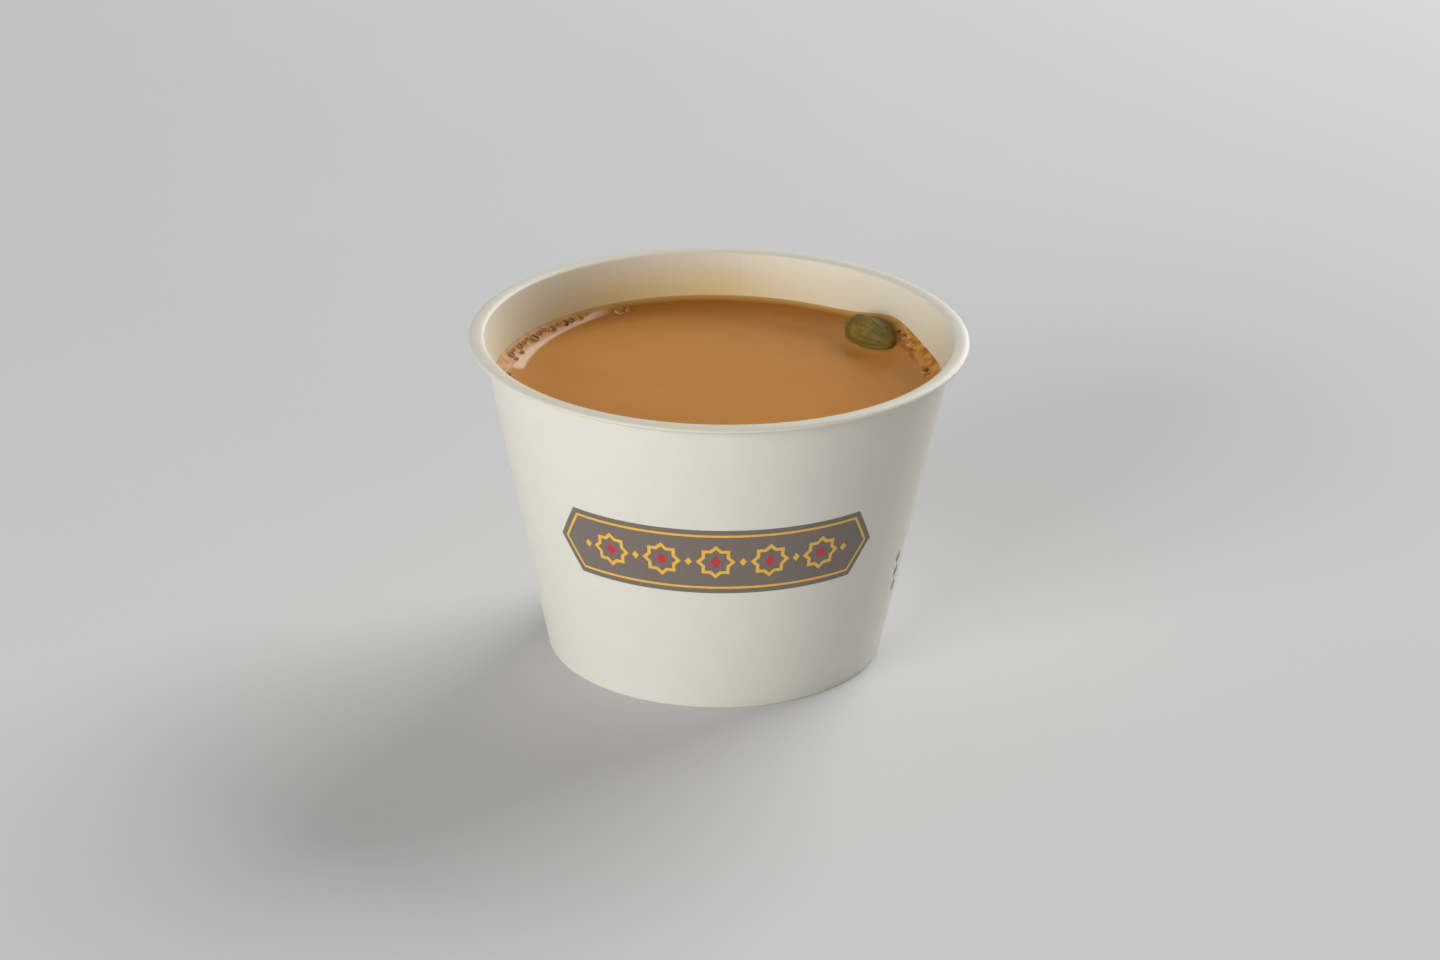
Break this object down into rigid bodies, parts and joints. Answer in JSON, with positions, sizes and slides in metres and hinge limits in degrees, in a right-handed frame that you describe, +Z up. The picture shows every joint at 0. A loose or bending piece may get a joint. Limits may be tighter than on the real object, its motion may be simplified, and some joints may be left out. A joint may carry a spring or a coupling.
{
  "type": "paper tea cup",
  "caption": "Squat paper tea cup with a rolled rim, lapped side seam and raised base, filled with milk tea on which a cardamom pod and small bubbles float.",
  "frame": {"origin": "on the table, under the middle of the cup", "axes": "+Z up along the cup's axis, -Y towards the front of the cup, +X to its right"},
  "size_m": [0.09, 0.09, 0.06],
  "materials": {
    "wall_board": "satin",
    "base_board": "satin",
    "milk_tea": "gloss",
    "bubble_film": "gloss",
    "husk": "satin",
    "core": "matte",
    "seed": "satin"
  },
  "bodies": {
    "cup": {"cup_wall": "wall_board", "cup_base": "base_board"},
    "drink": {"tea": "milk_tea", "froth_bubbles": "bubble_film"},
    "cardamom": {"pod_husk": "husk", "pod_core": "core", "pod_seeds": "seed"}
  },
  "joints": [
    {"name": "tea_swirl", "type": "hinge", "parent": "cup", "child": "drink", "pos_m": [0, 0, 0.0495], "axis": [0, 0, 1], "continuous": true},
    {"name": "pod_lift", "type": "slide", "parent": "drink", "child": "cardamom", "axis": [0, 0, 1], "range_m": [0, 0.035]}
  ]
}
